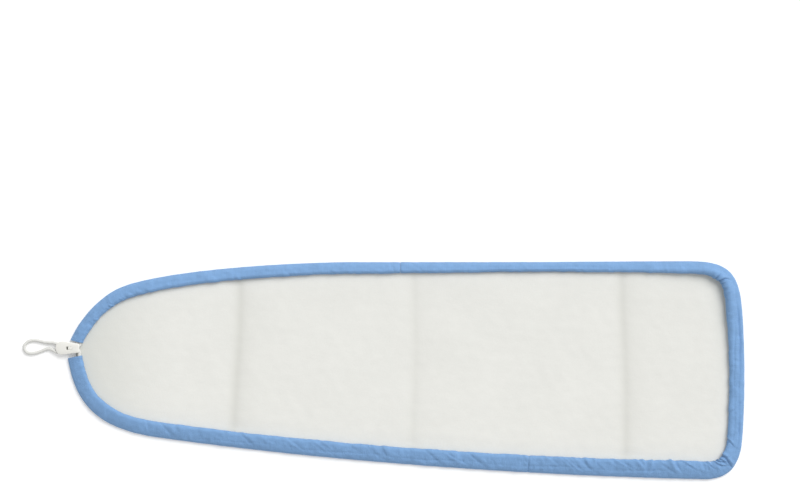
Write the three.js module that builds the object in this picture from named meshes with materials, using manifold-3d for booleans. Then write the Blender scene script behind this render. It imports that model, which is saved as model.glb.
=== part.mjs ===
// A cover for the buck of a utility press, in millimetres, +Z up.
// It lies face down with its nose towards -X: face cloth below, felt pad on it, and round the edge
// a casing of three strips that holds a drawcord. The cord leaves the casing at the nose, runs
// through a wedge lock and comes back as the pull loop.

import * as THREE from 'three';
import { mergeVertices } from 'three/addons/utils/BufferGeometryUtils.js';
import Module from 'manifold-3d';

const wasm = await Module();
wasm.setup();

// Cover: cloth, felt and the seam that joins them to the casing
const coverLength = 1240;
const coverWidth = 400;
const clothThickness = 0.8;
const feltThickness = 4;
const seamInset = 14.5;
const clearance = 0.3;
const cutOverrun = 2;

// Casing
const widestBand = 35;
const hemRounding = 1.6;
const puckerDepth = 1.8;

// Creases across the felt
const creaseWidth = 8;
const creaseDepth = 0.9;

// Drawcord
const cordDiameter = 6;
const cordPlay = 0.6;
const cordSides = 10;
const cordStep = 2.5;
const mouthLead = 0.6;
const restGap = 0.05;
const loopReach = 57;
const loopWidth = 24;

// Wedge lock
const lockLength = 40;
const lockNarrowWidth = 16.6;
const lockWideWidth = 24.8;
const lockWall = 1.4;
const lockRounding = 1.3;
const lockCorner = 3;
const roofReach = 5.6;
const lockSetback = 19;
const lockAcross = 41;
const strandSpacingNarrow = 6.8;
const strandSpacingWide = 16;
const boreSides = 20;
const roundSteps = 3;
const wedgeTravel = 3;
const wedgeWall = 0.7;
const toothPitch = 2;
const toothDepth = 0.5;
const knobLength = 8;
const knobWidth = 5;
const knobHeight = 1.3;
const knobRounding = 1.2;
const ribPitch = 2.2;
const ribDepth = 0.5;

// Outline of the cover, round from the nose by the far side, the wide end and the near side, as
// cubic curves: after the first point, each row has two handles and an end. They are shares of
// the length and of the width, from the middle.
const outlineShares = [
  [[-0.501, 0.09]],
  [[-0.493, 0.2], [-0.456, 0.35], [-0.4175, 0.391]],
  [[-0.3525, 0.4595], [-0.188, 0.493], [-0.083, 0.496]],
  [[0.012, 0.496], [0.107, 0.496], [0.2, 0.4965]],
  [[0.273, 0.498], [0.347, 0.5], [0.42, 0.5]],
  [[0.483, 0.5], [0.493, 0.433], [0.497, 0.253]],
  [[0.501, 0.078], [0.501, -0.127], [0.497, -0.302]],
  [[0.4945, -0.4315], [0.479, -0.501], [0.441, -0.499]],
  [[0.175, -0.4825], [-0.137, -0.4125], [-0.379, -0.302]],
  [[-0.4505, -0.2615], [-0.4935, -0.17], [-0.501, 0.09]],
];
const curveSteps = [10, 12, 5, 5, 12, 8, 12, 26, 14];
const leastStepShare = 0.2;

// The casing's width at the outline's points and the depth of its puckers along each curve, as
// shares of the widest band and of the pucker depth
const bandShares = [0.67, 0.69, 0.62, 0.5, 0.62, 0.82, 0.82, 0.97, 0.83, 0.8];
const puckerShares = [0.35, 0.1, 0, 0.1, 1, 0.25, 1, 0.45, 0.35];

// Places along the outline: the whole number is the curve, the rest is the share of it
const upperMouthShare = 0.14;
const upperTailShare = 0.32;
const farSeamShare = 2.26;
const nearSeamShare = 7.33;
const lowerTailShare = 8.83;
const lowerMouthShare = 8.955;

// How far the cuts of the mouths lean along the outline, as shares of the way in from the edge
const upperSlantShare = 0.17;
const lowerSlantShare = 0.09;

// The casing's puffed section: shares of its width from the edge, and of its height
const puffShares = [[0.62, 1], [0.34, 0.97], [0.12, 0.84], [0.02, 0.6], [0, 0.3]];

// Where the creases cross the middle line and how far they lean, in shares of the length
const creaseShares = [[-0.2575, 0.002], [0.0085, 0.001], [0.319, -0.001]];

// The free loop, from the lock's wide end and back to it, in shares of its reach, of its width
// towards the cover's far side, and of the level at which it rests
const loopShares = [
  [0.07, 0.4, 1.54], [0.193, 0.408, 1.31], [0.333, 0.433, 1.115], [0.474, 0.508, 1],
  [0.632, 0.579, 1], [0.789, 0.567, 1], [0.919, 0.425, 1], [0.998, 0.175, 1],
  [1, -0.1, 1], [0.916, -0.342, 1], [0.779, -0.413, 1], [0.614, -0.363, 1],
  [0.456, -0.233, 1], [0.316, -0.1, 1.016], [0.184, -0.067, 1.18], [0.077, -0.175, 1.443],
];

// Along the lock, from its narrow end: the wedge's two ends, the knob's front, and where the
// tails of the cord meet the loop
const wedgeShares = [0.125, 0.725];
const knobFrontShare = 0.19;
const strandJoinShare = 0.9;

// Points along a cord's tail: round its bend, as shares of a quarter turn, and through the lock
const bendShares = [1, 0.67, 0.33];
const strandShares = [0, 0.2, 0.6, 1];

// Levels, one layer on another
const feltBottom = clothThickness + clearance;
const feltTop = feltBottom + feltThickness;
const cordRadius = cordDiameter / 2;
const casingFloor = feltTop + clearance;
const cordLevel = casingFloor + clothThickness + cordPlay + cordRadius;
const casingHeight = cordLevel + cordRadius + cordPlay + clothThickness;
const loopLevel = cordRadius + restGap;
const cordInset = cordRadius + hemRounding;
const padInset = seamInset + clearance;

const materials = {
  cloth: { color: '#7fa9d1', roughness: 0.85 },
  felt: { color: '#e9eae5', roughness: 0.97 },
  cord: { color: '#e6e6e1', roughness: 0.8 },
  plastic: { color: '#ebeae4', roughness: 0.4 },
};

function meshOf(name, geometry, finish) {
  geometry.computeVertexNormals();
  const material = new THREE.MeshStandardMaterial({ ...materials[finish], metalness: 0 });
  const mesh = new THREE.Mesh(geometry, material);
  mesh.name = name;
  return mesh;
}

function solidOf(geometry) {
  const bare = new THREE.BufferGeometry();
  bare.setAttribute('position', geometry.getAttribute('position').clone());
  bare.setIndex(geometry.getIndex() ? geometry.getIndex().clone() : null);
  const merged = mergeVertices(bare);
  return new wasm.Manifold(new wasm.Mesh({
    numProp: 3,
    vertProperties: merged.getAttribute('position').array,
    triVerts: new Uint32Array(merged.getIndex().array),
  }));
}

function geometryOf(solid) {
  const { vertProperties, triVerts } = solid.getMesh();
  const geometry = new THREE.BufferGeometry();
  geometry.setAttribute('position', new THREE.BufferAttribute(vertProperties, 3));
  geometry.setIndex(new THREE.BufferAttribute(triVerts, 1));
  return geometry;
}

// A plate with this outline, from one level up to another
function plateOf(points, bottom, top) {
  const plate = new THREE.ExtrudeGeometry(new THREE.Shape(points), {
    depth: top - bottom,
    bevelEnabled: false,
  });
  return plate.translate(0, 0, bottom);
}

// Stations round the outline

const outlinePoints = outlineShares.map((row) =>
  row.map(([along, across]) => new THREE.Vector2(along * coverLength, across * coverWidth)),
);
const outlineCurves = outlinePoints.slice(1).map(
  (row, i) => new THREE.CubicBezierCurve(outlinePoints[i].at(-1), ...row),
);
const marks = curveSteps.flatMap((steps, curve) =>
  Array.from({ length: steps }, (_, k) => curve + k / steps),
);

function stationAt(mark) {
  const curve = Math.floor(mark);
  const share = mark - curve;
  const along = outlineCurves[curve].getTangent(share);
  const inward = new THREE.Vector2(along.y, -along.x);
  const width = widestBand * THREE.MathUtils.lerp(bandShares[curve], bandShares[curve + 1], share);
  const pucker = puckerDepth * puckerShares[curve];
  return { point: outlineCurves[curve].getPoint(share), along, inward, width, pucker };
}

// The point of a station that lies this far in from the edge, at this level
function placed(station, inset, level) {
  const { point, inward } = station;
  return new THREE.Vector3(point.x + inward.x * inset, point.y + inward.y * inset, level);
}

// The marks of a stretch, without those too close to its ends
function marksBetween(from, to) {
  const [fromGap, toGap] = [from, to].map((mark) => leastStepShare / curveSteps[Math.floor(mark)]);
  return [from, ...marks.filter((mark) => mark > from + fromGap && mark < to - toGap), to];
}

// The cover's outline, drawn in by an inset
function outlineAt(inset) {
  return marks.map((mark) => {
    const { x, y } = placed(stationAt(mark), inset, 0);
    return new THREE.Vector2(x, y);
  });
}

// Lofts along the outline

// Triangles of a flat section with a hollow, all counterclockwise
function capOf(outer, hollow) {
  const points = [...outer, ...hollow];
  const faces = THREE.ShapeUtils.triangulateShape(outer, hollow.length ? [hollow] : []);
  return faces.map(([a, b, c]) => {
    const area = THREE.ShapeUtils.area([points[a], points[b], points[c]]);
    return area > 0 ? [a, b, c] : [a, c, b];
  });
}

// A body through sections at successive stations. A section is { station, outer, hollow }, with
// its points as (inset, level). A shift moves it along the outline, and a slant leans it.
function loft(sections) {
  const positions = [];
  for (const { station, outer, hollow, shift = 0, slant = 0 } of sections) {
    for (const { x, y } of [...outer, ...hollow]) {
      const at = placed(station, x, y);
      const ahead = shift + slant * x;
      positions.push(at.x + station.along.x * ahead, at.y + station.along.y * ahead, at.z);
    }
  }
  const first = sections[0];
  const last = sections.length - 1;
  const outerCount = first.outer.length;
  const ringCount = outerCount + first.hollow.length;
  const index = [];
  for (let i = 0; i < last; i += 1) {
    for (let k = 0; k < ringCount; k += 1) {
      const inHollow = k >= outerCount;
      const start = inHollow ? outerCount : 0;
      const size = inHollow ? ringCount - outerCount : outerCount;
      const a = i * ringCount + k;
      const b = i * ringCount + start + ((k - start + 1) % size);
      const quad = [a, a + ringCount, b + ringCount, b];
      const [p, q, r, s] = inHollow ? quad.reverse() : quad;
      index.push(p, q, r, p, r, s);
    }
  }
  const end = last * ringCount;
  for (const [a, b, c] of capOf(first.outer, first.hollow)) index.push(a, b, c);
  for (const [a, b, c] of capOf(sections[last].outer, sections[last].hollow)) {
    index.push(end + a, end + c, end + b);
  }
  const geometry = new THREE.BufferGeometry();
  geometry.setAttribute('position', new THREE.Float32BufferAttribute(positions, 3));
  geometry.setIndex(index);
  return geometry;
}

// A counterclockwise outline, drawn in all round by a distance
function drawnIn(points, distance) {
  return points.map((point, i) => {
    const before = points.at(i - 1);
    const after = points[(i + 1) % points.length];
    const u = point.clone().sub(before).normalize();
    const v = after.clone().sub(point).normalize();
    const inset = new THREE.Vector2(-u.y - v.y, u.x + v.x);
    return point.clone().addScaledVector(inset, distance / (1 + u.dot(v)));
  });
}

// Casing: a strip folded double, with both of its edges in the seam. It turns round the cover's
// edge from the face side and lies on the felt's margin, with the cord in its inner fold.
function casingSection(width, height) {
  const points = [
    [seamInset, 0],
    [seamInset, casingFloor],
    [width - hemRounding, casingFloor],
    [width, casingFloor + hemRounding],
    [width, height - hemRounding],
    [width - hemRounding, height],
    ...puffShares.map(([inShare, upShare]) => [width * inShare, height * upShare]),
    [0, hemRounding],
    [hemRounding, 0],
  ];
  return points.map(([inset, level]) => new THREE.Vector2(inset, level));
}

function casingStrip(name, from, to, slants) {
  const stripMarks = marksBetween(from, to);
  const sections = stripMarks.map((mark, i) => {
    const station = stationAt(mark);
    const last = stripMarks.length - 1;
    const pucker = i % 2 && i < last ? station.pucker : 0;
    const outer = casingSection(station.width - pucker, casingHeight);
    for (const point of outer) {
      if (point.y > casingHeight / 2 && point.x < station.width / 2) point.y -= pucker;
    }
    const halfGap = clearance / 2;
    const shift = i === 0 ? halfGap : i === last ? -halfGap : 0;
    const slant = i === 0 ? slants[0] : i === last ? slants[1] : 0;
    return { station, outer, hollow: drawnIn(outer, clothThickness), shift, slant };
  });
  return meshOf(name, loft(sections), 'cloth');
}

// Felt and face cloth

function feltPad() {
  let pad = solidOf(plateOf(outlineAt(padInset), feltBottom, feltTop));
  for (const [alongShare, leanShare] of creaseShares) {
    const profile = new THREE.Shape([
      new THREE.Vector2(-creaseWidth / 2, clearance),
      new THREE.Vector2(-creaseWidth / 2, 0),
      new THREE.Vector2(0, -creaseDepth),
      new THREE.Vector2(creaseWidth / 2, 0),
      new THREE.Vector2(creaseWidth / 2, clearance),
    ]);
    const half = new THREE.Vector3(leanShare * coverLength, coverWidth / 2, 0);
    const middle = new THREE.Vector3(alongShare * coverLength, 0, feltTop);
    const path = new THREE.LineCurve3(middle.clone().sub(half), middle.clone().add(half));
    const crease = new THREE.ExtrudeGeometry(profile, {
      depth: path.getLength(),
      bevelEnabled: false,
    });
    crease.rotateX(Math.PI / 2);
    crease.translate(0, path.getLength() / 2, 0);
    crease.rotateZ(-Math.atan2(half.x, half.y));
    crease.translate(middle.x, middle.y, middle.z);
    pad = pad.subtract(solidOf(crease));
  }
  return meshOf('felt_pad', geometryOf(pad), 'felt');
}

function coverPanel() {
  return meshOf('cover_panel', plateOf(outlineAt(padInset), 0, clothThickness), 'cloth');
}

// Cord

function circlePoints(radius, sides) {
  return Array.from({ length: sides }, (_, k) => {
    const turn = (2 * Math.PI * (k + 1 / 2)) / sides;
    return new THREE.Vector2(radius * Math.cos(turn), radius * Math.sin(turn));
  });
}

// The middle of the cord where it lies in the casing's inner fold
function cordPlace(mark, shift = 0, slant = 0) {
  const station = stationAt(mark);
  const inset = station.width - station.pucker - cordInset;
  const place = placed(station, inset, cordLevel);
  place.x += station.along.x * (shift + slant * inset);
  place.y += station.along.y * (shift + slant * inset);
  return place;
}

function drawcord() {
  const route = marksBetween(upperTailShare, lowerTailShare);
  const sections = route.map((mark) => {
    const station = stationAt(mark);
    const middle = new THREE.Vector2(station.width - station.pucker - cordInset, cordLevel);
    const outer = circlePoints(cordRadius, cordSides).map((point) => point.add(middle));
    return { station, outer, hollow: [] };
  });
  return meshOf('drawcord', loft(sections), 'cord');
}

function cordAlong(name, points) {
  const path = new THREE.CatmullRomCurve3(points, false, 'centripetal');
  const section = new THREE.Shape(circlePoints(cordRadius, cordSides));
  const steps = Math.round(path.getLength() / cordStep);
  const cord = new THREE.ExtrudeGeometry(section, { steps, extrudePath: path });
  return meshOf(name, cord, 'cord');
}

// Wedge lock, in its own frame: its middle line runs from the bores' narrow end, at 0, along +X to
// the wide end, and its roof reaches back from there over the bend of the cord. The two strands of
// the cord run apart inside it, with the toothed wedge between.

const strandBore = cordRadius + clearance;
const lockThickness = 2 * (strandBore + lockWall);
const [wedgeFront, wedgeBack] = wedgeShares.map((share) => share * lockLength);
const knobFront = knobFrontShare * lockLength;
const strandJoin = strandJoinShare * lockLength;

// How far a strand's middle is from the lock's middle line, this far from the narrow end
function strandOff(reach) {
  const gain = (strandSpacingWide - strandSpacingNarrow) / 2 / lockLength;
  return strandSpacingNarrow / 2 + gain * reach;
}

function lockOutline() {
  const round = lockWideWidth / 2;
  const centre = lockLength - round;
  const half = lockNarrowWidth / 2;
  const reach = centre + roofReach;
  const lean = Math.asin(round / Math.hypot(reach, half)) - Math.atan2(half, reach);
  const outline = new THREE.Shape();
  outline.moveTo(lockCorner - roofReach, -half);
  outline.absarc(centre, 0, round, -Math.PI / 2 - lean, Math.PI / 2 + lean, false);
  outline.lineTo(lockCorner - roofReach, half);
  outline.quadraticCurveTo(-roofReach, half, -roofReach, half - lockCorner);
  outline.lineTo(-roofReach, lockCorner - half);
  outline.quadraticCurveTo(-roofReach, -half, lockCorner - roofReach, -half);
  return outline;
}

// A bar with rounded corners, its middle on the lock's middle line
function roundedBar(front, back, width, rounding, bottom, top) {
  const start = front + rounding;
  const end = back - rounding;
  const side = width / 2 - rounding;
  const bar = new THREE.Shape();
  bar.absarc(end, -side, rounding, -Math.PI / 2, 0);
  bar.absarc(end, side, rounding, 0, Math.PI / 2);
  bar.absarc(start, side, rounding, Math.PI / 2, Math.PI);
  bar.absarc(start, -side, rounding, Math.PI, 3 * Math.PI / 2);
  return plateOf(bar.getPoints(roundSteps), bottom, top);
}

function lockHousing() {
  const shell = new THREE.ExtrudeGeometry(lockOutline(), {
    depth: lockThickness - 2 * lockRounding,
    bevelThickness: lockRounding,
    bevelSize: lockRounding,
    bevelOffset: -lockRounding,
    bevelSegments: roundSteps,
    curveSegments: boreSides,
  });
  shell.translate(0, 0, lockRounding - lockThickness / 2);
  let housing = solidOf(shell);

  // Under the roof, over the bend of the cord, the housing is open on three sides
  const open = roundedBar(
    -roofReach - 2 * lockCorner,
    0,
    lockWideWidth,
    lockRounding,
    -lockThickness,
    strandBore,
  );
  housing = housing.subtract(solidOf(open));

  const near = -cutOverrun;
  const far = lockLength + cutOverrun;
  const corners = [[near, -1], [far, -1], [far, 1], [near, 1]];
  const chamber = corners.map(([reach, side]) => new THREE.Vector2(reach, side * strandOff(reach)));
  housing = housing.subtract(solidOf(plateOf(chamber, -strandBore, strandBore)));
  for (const side of [-1, 1]) {
    const bore = new THREE.CylinderGeometry(strandBore, strandBore, 2 * lockLength, boreSides);
    bore.rotateZ(Math.PI / 2);
    bore.rotateZ(side * Math.atan2(strandOff(lockLength) - strandOff(0), lockLength));
    bore.translate(lockLength / 2, side * strandOff(lockLength / 2), 0);
    housing = housing.subtract(solidOf(bore));
  }

  const window = roundedBar(
    knobFront - clearance,
    knobFront + knobLength + wedgeTravel + clearance,
    knobWidth + 2 * clearance,
    knobRounding,
    0,
    lockThickness,
  );
  housing = housing.subtract(solidOf(window));
  return meshOf('lock_housing', geometryOf(housing), 'plastic');
}

// One flank of the wedge, with teeth that lean against the cord's pull into the cover
function toothedFlank(side) {
  const toothCount = Math.floor((wedgeBack - wedgeFront) / toothPitch);
  const flank = [];
  for (let tooth = 0; tooth < toothCount; tooth += 1) {
    const root = wedgeFront + tooth * toothPitch;
    const tip = root + toothPitch - clearance;
    const rootOff = strandOff(root) - strandBore - toothDepth;
    const tipOff = strandOff(tip) - strandBore;
    flank.push(new THREE.Vector2(root, side * rootOff), new THREE.Vector2(tip, side * tipOff));
  }
  return flank;
}

function lockWedge() {
  const outline = [...toothedFlank(-1), ...toothedFlank(1).reverse()];
  const wedgeTop = strandBore - clearance;
  const knobTop = lockThickness / 2 + knobHeight;
  let wedge = solidOf(plateOf(outline, -wedgeTop, wedgeTop));
  const knobBack = knobFront + knobLength;
  const knobFoot = wedgeTop - clearance;
  const knob = roundedBar(knobFront, knobBack, knobWidth, knobRounding, knobFoot, knobTop);
  wedge = wedge.add(solidOf(knob));
  const ribCount = Math.floor(knobLength / ribPitch);
  for (let rib = 1; rib < ribCount; rib += 1) {
    const middle = knobFront + rib * (knobLength / ribCount);
    const groove = new THREE.BoxGeometry(ribDepth, knobWidth + cutOverrun, 2 * ribDepth);
    groove.translate(middle, 0, knobTop);
    wedge = wedge.subtract(solidOf(groove));
  }
  const pocketBack = wedgeBack - 2 * wedgeWall;
  const pocketWidth = 2 * (strandOff(knobBack) - strandBore - toothDepth - wedgeWall);
  const pocketFloor = wedgeWall - wedgeTop;
  const pocket = roundedBar(
    knobBack,
    pocketBack,
    pocketWidth,
    pocketWidth / 3,
    pocketFloor,
    lockThickness,
  );
  wedge = wedge.subtract(solidOf(pocket));
  return meshOf('lock_wedge', geometryOf(wedge), 'plastic');
}

// The lock leans from the felt's edge, under its narrow end, down to the floor at its wide end
function placedLock() {
  const apex = outlinePoints[0][0];
  const overFelt = lockSetback - padInset;
  const foot = lockLength - lockRounding;
  const lean = Math.asin(casingFloor / (foot - overFelt));
  const lock = new THREE.Group();
  lock.position.set(
    apex.x + lockSetback,
    lockAcross,
    foot * Math.sin(lean) + (lockThickness / 2) * Math.cos(lean),
  );
  lock.rotation.set(0, lean, Math.PI, 'ZYX');
  lock.add(lockHousing(), lockWedge());
  lock.updateMatrixWorld();
  return lock;
}

// The far and the near strand lie on these sides of the lock's middle line
const farSide = -1;
const nearSide = 1;

// From inside the casing's mouth, round the bend and through the lock
function cordTail(name, lock, side, tailShare, mouthShare, slant) {
  const gap = side === farSide ? -clearance : clearance;
  const halfway = (tailShare + mouthShare) / 2;
  const mouth = cordPlace(mouthShare, 0, slant);
  const inCasing = [cordPlace(tailShare, gap), cordPlace(halfway), mouth];
  const bendRadius = mouth.x - lock.position.x - mouthLead;
  const bend = bendShares.map((share) => {
    const turn = (Math.PI / 2) * share;
    const off = strandOff(0) + bendRadius * (1 - Math.cos(turn));
    return new THREE.Vector3(
      mouth.x - bendRadius * (1 - Math.sin(turn)),
      lock.position.y - side * off,
      THREE.MathUtils.lerp(lock.position.z, cordLevel, Math.sin(turn)),
    );
  });
  const inLock = strandShares.map((share) => {
    const reach = (strandJoin - clearance) * share;
    return lock.localToWorld(new THREE.Vector3(reach, side * strandOff(reach), 0));
  });
  return cordAlong(name, [...inCasing, ...bend, ...inLock]);
}

function cordLoop(lock) {
  const [out, back] = [farSide, nearSide].map((side) =>
    [strandJoin, (strandJoin + lockLength) / 2].map((reach) =>
      lock.localToWorld(new THREE.Vector3(reach, side * strandOff(reach), 0)),
    ),
  );
  const wideEnd = lock.position.x - lockLength;
  const free = loopShares.map(([reachShare, acrossShare, levelShare]) =>
    new THREE.Vector3(
      wideEnd - reachShare * loopReach,
      lockAcross + acrossShare * loopWidth,
      levelShare * loopLevel,
    ),
  );
  return cordAlong('cord_loop', [...out, ...free, ...back.reverse()]);
}

const cover = new THREE.Group();
const lock = placedLock();
cover.add(
  coverPanel(),
  feltPad(),
  casingStrip('casing_far_side', upperMouthShare, farSeamShare, [upperSlantShare, 0]),
  casingStrip('casing_wide_end', farSeamShare, nearSeamShare, [0, 0]),
  casingStrip('casing_near_side', nearSeamShare, lowerMouthShare, [0, lowerSlantShare]),
  drawcord(),
  cordTail('cord_tail_far', lock, farSide, upperTailShare, upperMouthShare, upperSlantShare),
  cordTail('cord_tail_near', lock, nearSide, lowerTailShare, lowerMouthShare, lowerSlantShare),
  lock,
);

// The origin is the bottom centre of the cover with its lock, without the free loop
const bounds = new THREE.Box3().setFromObject(cover, true);
const middle = bounds.getCenter(new THREE.Vector3());
cover.add(cordLoop(lock));
cover.position.set(-middle.x, -middle.y, -bounds.min.z);

const part = new THREE.Group();
part.add(cover);

export default part;
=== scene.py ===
import math

import bmesh
import bpy
import numpy as np
from mathutils import Matrix, Vector, geometry, kdtree


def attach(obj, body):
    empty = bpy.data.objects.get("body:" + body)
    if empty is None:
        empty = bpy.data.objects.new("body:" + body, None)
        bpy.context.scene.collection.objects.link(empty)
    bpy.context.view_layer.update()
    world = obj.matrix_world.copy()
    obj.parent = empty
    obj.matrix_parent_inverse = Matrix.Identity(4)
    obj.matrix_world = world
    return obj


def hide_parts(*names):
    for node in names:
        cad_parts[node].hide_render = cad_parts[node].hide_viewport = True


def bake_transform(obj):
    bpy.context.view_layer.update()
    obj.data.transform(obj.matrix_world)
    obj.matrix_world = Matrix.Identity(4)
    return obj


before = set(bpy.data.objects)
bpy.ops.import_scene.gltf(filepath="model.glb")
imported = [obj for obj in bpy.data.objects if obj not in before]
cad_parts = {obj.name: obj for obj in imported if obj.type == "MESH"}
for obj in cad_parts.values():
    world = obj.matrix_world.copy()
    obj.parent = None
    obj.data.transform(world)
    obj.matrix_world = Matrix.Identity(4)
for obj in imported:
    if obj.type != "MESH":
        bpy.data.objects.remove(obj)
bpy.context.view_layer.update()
scene = bpy.context.scene
mm = 0.001  # sizes are in millimetres here, and Blender's are in metres
print("frame loaded")

# The camera looks straight down

topCamera = {
    "over": (-0.23, 221.2),  # what the middle of the picture looks at, on the floor
    "seenWidth": 1467.2,  # how much floor the picture is wide
    "height": 4200.0,
    "sensor": 36.0,
    "farthest": 20.0,  # metres
}

bpy.ops.object.select_all(action="DESELECT")
bpy.ops.object.camera_add(location=[value * mm for value in (*topCamera["over"], topCamera["height"])])
camera = bpy.context.object
camera.name = "topCamera"
camera.data.sensor_width = topCamera["sensor"]
camera.data.lens = topCamera["sensor"] * topCamera["height"] / topCamera["seenWidth"]
camera.data.clip_end = topCamera["farthest"]
scene.camera = camera
print("camera over the cover")

# The outline of the cover, round from the nose by the far side, the wide end and the near side

cover = {
    "length": 1240.0,
    "width": 400.0,
    "shift": (11.1396, -0.2),  # from the cover's own middle to the frame's origin
    # after the first point, each row is two handles and an end, in shares of length and width
    "outline": [
        [(-0.501, 0.09)],
        [(-0.493, 0.2), (-0.4565, 0.342), (-0.4175, 0.3855)],
        [(-0.3525, 0.458), (-0.188, 0.493), (-0.083, 0.496)],
        [(0.012, 0.496), (0.107, 0.496), (0.2, 0.4965)],
        [(0.273, 0.498), (0.347, 0.5), (0.42, 0.5)],
        [(0.483, 0.5), (0.493, 0.433), (0.497, 0.253)],
        [(0.501, 0.078), (0.501, -0.127), (0.497, -0.302)],
        [(0.4945, -0.4315), (0.479, -0.501), (0.441, -0.499)],
        [(0.175, -0.4825), (-0.137, -0.4125), (-0.379, -0.302)],
        [(-0.4505, -0.2615), (-0.4935, -0.17), (-0.501, 0.09)],
    ],
    "widestBand": 35.0,  # of the casing, and its width at the outline's points as shares of that
    "bandShares": [0.67, 0.69, 0.62, 0.5, 0.62, 0.82, 0.82, 0.97, 0.83, 0.8],
    "pucker": [0.63, 0.18, 0.0, 0.18, 1.8, 0.45, 1.8, 0.81, 0.63],  # how far it draws in, by curve
    "clothThickness": 0.8,
    "feltTop": 5.1,  # its level
    "samples": 400,  # of each curve
    "blur": 14,  # evens out how fast the curves turn where they meet
    "headingBlur": 4,
}

# the columns of a row of the rim
rimPlace, rimInward, rimAlong, rimBand, rimDrawn, rimMark = slice(0, 2), slice(2, 4), slice(4, 6), 6, 7, 8


def placeAtMark(mark):
    # a mark's whole number is the curve, and the rest the share of it
    curve = min(int(mark), len(cover["pucker"]) - 1)
    t = mark - curve
    start = cover["outline"][curve][-1]
    p = np.array([start, *cover["outline"][curve + 1]]) * (cover["length"], cover["width"])
    u = 1 - t
    return u ** 3 * p[0] + 3 * u * u * t * p[1] + 3 * u * t * t * p[2] + t ** 3 * p[3] + cover["shift"]


def bell(x):
    return np.exp(-0.5 * x ** 2)


def unit(rows):
    return rows / np.linalg.norm(rows, axis=-1)[..., None]


def lengthsAlong(points):
    return np.concatenate([[0], np.cumsum(np.linalg.norm(np.diff(points, axis=0), axis=1))])


def rowsAt(where, along, rows):
    # rows at these lengths, between the given ones
    return np.stack([np.interp(where, along, column) for column in rows.T], 1)


def blurred(values, sigma, loop=True):
    # rows of values, blurred along their order
    reach = int(3 * sigma) + 1
    kernel = bell(np.arange(-reach, reach + 1) / sigma)
    kernel /= kernel.sum()
    wide = np.pad(values, ((reach, reach), (0, 0)), mode="wrap" if loop else "edge")
    return np.stack([np.convolve(column, kernel, "valid") for column in wide.T], 1)


def sampleRim():
    # every millimetre round the outline: place, inward, along, band width, pucker and mark
    curves = len(cover["pucker"])
    marks = np.linspace(0, curves, cover["samples"] * curves + 1)
    points = np.array([placeAtMark(mark) for mark in marks])
    along = lengthsAlong(points)
    even = np.arange(int(along[-1])) * along[-1] / int(along[-1])
    once = blurred(rowsAt(even, along, points), cover["blur"])
    place = 2 * once - blurred(once, cover["blur"])
    mark = np.interp(even, along, marks)
    heading = unit(blurred(np.roll(place, -1, 0) - np.roll(place, 1, 0), cover["headingBlur"]))
    whole = np.clip(mark.astype(int), 0, curves - 1)
    band = np.array(cover["bandShares"]) * cover["widestBand"]
    width = band[whole] + (band[whole + 1] - band[whole]) * (mark - whole)
    drawn = blurred(np.stack([width, np.array(cover["pucker"])[whole]], 1), cover["blur"])
    return along[-1], np.column_stack([place, heading[:, 1], -heading[:, 0], heading, drawn, mark])


rimLength, rimRows = sampleRim()


def rimAt(s):
    # rows of the rim at these lengths along it
    place = np.asarray(s, float) / rimLength * len(rimRows)
    low = np.floor(place).astype(int) % len(rimRows)
    share = (place - np.floor(place))[..., None]
    return rimRows[low] * (1 - share) + rimRows[(low + 1) % len(rimRows)] * share


def lengthAtMark(mark):
    return float(np.interp(mark, rimRows[:, rimMark], np.arange(len(rimRows)))) * rimLength / len(rimRows)


upperMouth, upperTail, farSeam = (lengthAtMark(mark) for mark in (0.14, 0.32, 2.26))
nearSeam, lowerTail, lowerMouth = (lengthAtMark(mark) for mark in (7.315, 8.83, 8.955))
upperSlant, lowerSlant = 0.17, 0.09  # how the cuts of the mouths lean, as shares of the way in
print("outline sampled,", round(rimLength), "mm round")

# Shared ways to make soft pieces


def eased(low, high, values):
    t = np.clip((values - low) / (high - low), 0, 1)
    return t * t * (3 - 2 * t)


def nearMark(s, mark, length):
    return bell((s - lengthAtMark(mark)) / length)


def waver(count, sigma, seed):
    # a smooth random line, about from -1 to 1
    line = blurred(np.random.default_rng(seed).normal(size=(count, 1)), sigma)[:, 0]
    return line / (2 * line.std())


def softField(points, pitch, seed):
    # a smooth random surface over flat points, about from -1 to 1: the sum of fourteen waves
    draws = np.random.default_rng(seed)
    field = np.zeros(len(points))
    for _ in range(14):
        turn = draws.uniform(0, 2 * math.pi)
        stretch = draws.uniform(0.7, 1.6) * 2 * math.pi / pitch
        heading = np.array([math.cos(turn), math.sin(turn)]) * stretch
        field += np.sin(points @ heading + draws.uniform(0, 2 * math.pi))
    return field / 5


def newPiece(name, points, faces):
    mesh = bpy.data.meshes.new(name)
    mesh.from_pydata((np.asarray(points, float) * mm).tolist(), [], faces)
    mesh.update()
    piece = bpy.data.objects.new(name, mesh)
    scene.collection.objects.link(piece)
    mesh.polygons.foreach_set("use_smooth", [True] * len(mesh.polygons))
    return piece


def cornerPoints(piece):
    # the point that each corner of each face lies on
    corners = np.zeros(len(piece.data.loops), int)
    piece.data.loops.foreach_get("vertex_index", corners)
    return corners


def addMap(piece, name, lie):
    piece.data.uv_layers.new(name=name).data.foreach_set("uv", lie.ravel())


def addShares(piece, name, shares):
    piece.data.attributes.new(name, "FLOAT", "POINT").data.foreach_set("value", shares)


def skinFaces(ringCount, size, start=0, turned=False):
    # quads between closed rings of points that follow one another
    ring, k = np.meshgrid(np.arange(ringCount - 1), np.arange(size), indexing="ij")
    a = start + ring * size + k
    b = start + ring * size + (k + 1) % size
    quads = np.stack([a, b, b + size, a + size], -1).reshape(-1, 4)
    return (quads[:, ::-1] if turned else quads).tolist()


def between(x, low, high, first, last):
    return ((high - x) * first + (x - low) * last) / (high - low)


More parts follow.
